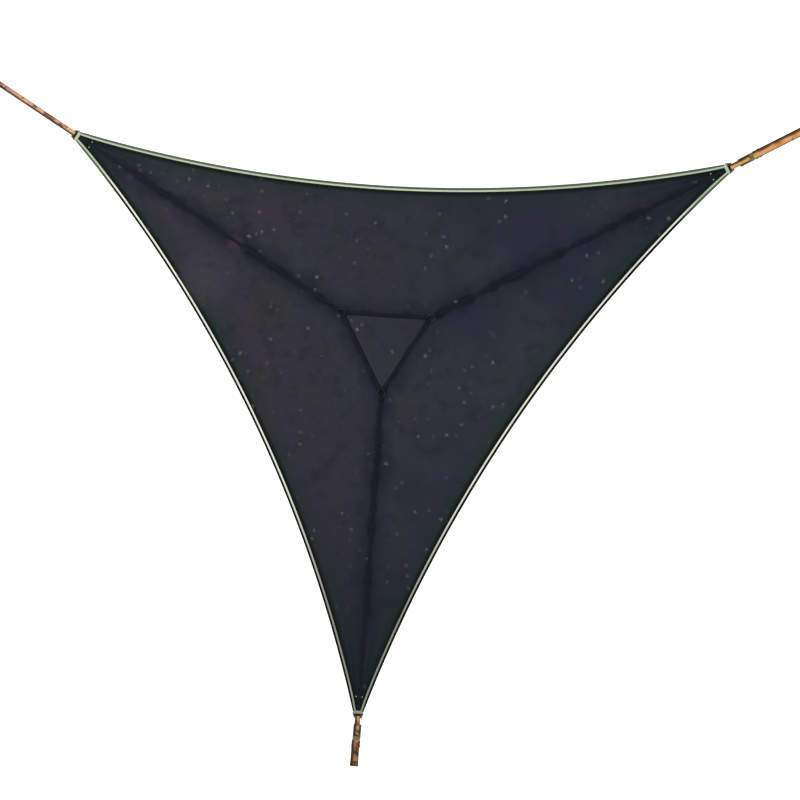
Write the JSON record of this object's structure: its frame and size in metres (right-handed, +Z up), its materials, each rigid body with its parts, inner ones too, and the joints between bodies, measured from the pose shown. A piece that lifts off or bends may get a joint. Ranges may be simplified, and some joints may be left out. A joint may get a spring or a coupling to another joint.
{
  "type": "three-point tree hammock",
  "caption": "Triangular mesh deck with curved-in edges, tensioned level between trees by ratcheted webbing at its corners.",
  "frame": {"origin": "middle of the flat centre panel's top face", "axes": "+Z up, out of the deck's top; +X along the rear edge to the right; +Y to the rear, away from the front corner"},
  "size_m": [7.5923, 6.1733, 0.3064],
  "materials": {
    "mesh_cloth": "matt woven mesh",
    "binding_cloth": "matt woven tape",
    "pale_webbing": "woven webbing",
    "black_webbing": "woven webbing",
    "orange_webbing": "woven webbing",
    "zinc_steel": "yellowed zinc plate",
    "bright_steel": "bright plate",
    "black_steel": "black coated"
  },
  "bodies": {
    "deck": {"panel_centre": "mesh_cloth", "panel_rear": "mesh_cloth", "edge_binding_rear": "binding_cloth", "edge_webbing_rear": "pale_webbing", "inner_strap_rear": "black_webbing", "panel_left": "mesh_cloth", "edge_binding_left": "binding_cloth", "edge_webbing_left": "pale_webbing", "inner_strap_left": "black_webbing", "panel_right": "mesh_cloth", "edge_binding_right": "binding_cloth", "edge_webbing_right": "pale_webbing", "inner_strap_right": "black_webbing", "seam_strap_right": "black_webbing", "inner_ring_right": "black_steel", "corner_loop_right": "pale_webbing", "corner_ring_right": "bright_steel", "eyelet_right_a": "bright_steel", "eyelet_right_b": "bright_steel", "tree_strap_right": "orange_webbing", "seam_strap_left": "black_webbing", "inner_ring_left": "black_steel", "corner_loop_left": "pale_webbing", "corner_ring_left": "bright_steel", "eyelet_left_a": "bright_steel", "eyelet_left_b": "bright_steel", "tree_strap_left": "orange_webbing", "seam_strap_front": "black_webbing", "inner_ring_front": "black_steel", "corner_loop_front": "pale_webbing", "corner_ring_front": "bright_steel", "eyelet_front_a": "bright_steel", "eyelet_front_b": "bright_steel", "tree_strap_front": "orange_webbing", "link_strap_front": "orange_webbing", "tree_sling_front": "orange_webbing", "ratchet_frame_front": "zinc_steel", "anchor_bolt_front": "bright_steel", "lock_spring_front": "bright_steel", "link_strap_right": "orange_webbing", "tree_sling_right": "orange_webbing", "ratchet_frame_right": "zinc_steel", "anchor_bolt_right": "bright_steel", "lock_spring_right": "bright_steel"},
    "handle_front": {"ratchet_handle_front": "zinc_steel", "drive_spring_front": "bright_steel"},
    "spool_front": {"mandrel_front": "bright_steel", "ratchet_wheel_a_front": "bright_steel", "ratchet_wheel_b_front": "bright_steel", "strap_winding_front": "orange_webbing"},
    "drive_pawl_front": {"drive_pawl_front": "bright_steel"},
    "lock_pawl_front": {"lock_pawl_front": "bright_steel"},
    "handle_right": {"ratchet_handle_right": "zinc_steel", "drive_spring_right": "bright_steel"},
    "spool_right": {"mandrel_right": "bright_steel", "ratchet_wheel_a_right": "bright_steel", "ratchet_wheel_b_right": "bright_steel", "strap_winding_right": "orange_webbing"},
    "drive_pawl_right": {"drive_pawl_right": "bright_steel"},
    "lock_pawl_right": {"lock_pawl_right": "bright_steel"}
  },
  "joints": [
    {"name": "handle_swing_front", "type": "hinge", "parent": "deck", "child": "handle_front", "pos_m": [0, -3.77877, 0.21632], "axis": [-1, 0, 0], "range_deg": [0, 165]},
    {"name": "spool_turn_front", "type": "hinge", "parent": "deck", "child": "spool_front", "pos_m": [0, -3.77877, 0.21632], "axis": [-1, 0, 0], "continuous": true},
    {"name": "drive_pawl_pull_front", "type": "slide", "parent": "handle_front", "child": "drive_pawl_front", "axis": [0, 0.9412, -0.3378], "range_m": [0, 0.006], "stiffness_N_per_m": 800, "springref_m": -0.003, "deforming": ["drive_spring_front"]},
    {"name": "lock_pawl_pull_front", "type": "slide", "parent": "deck", "child": "lock_pawl_front", "axis": [0, 0.984, 0.1781], "range_m": [0, 0.006], "stiffness_N_per_m": 800, "springref_m": -0.003, "deforming": ["lock_spring_front"]},
    {"name": "handle_swing_right", "type": "hinge", "parent": "deck", "child": "handle_right", "pos_m": [3.27251, 1.88938, 0.21632], "axis": [0.5, -0.866, 0], "range_deg": [0, 165]},
    {"name": "spool_turn_right", "type": "hinge", "parent": "deck", "child": "spool_right", "pos_m": [3.27251, 1.88938, 0.21632], "axis": [0.5, -0.866, 0], "continuous": true},
    {"name": "drive_pawl_pull_right", "type": "slide", "parent": "handle_right", "child": "drive_pawl_right", "axis": [-0.8151, -0.4706, -0.3378], "range_m": [0, 0.006], "stiffness_N_per_m": 800, "springref_m": -0.003, "deforming": ["drive_spring_right"]},
    {"name": "lock_pawl_pull_right", "type": "slide", "parent": "deck", "child": "lock_pawl_right", "axis": [-0.8522, -0.492, 0.1781], "range_m": [0, 0.006], "stiffness_N_per_m": 800, "springref_m": -0.003, "deforming": ["lock_spring_right"]}
  ]
}
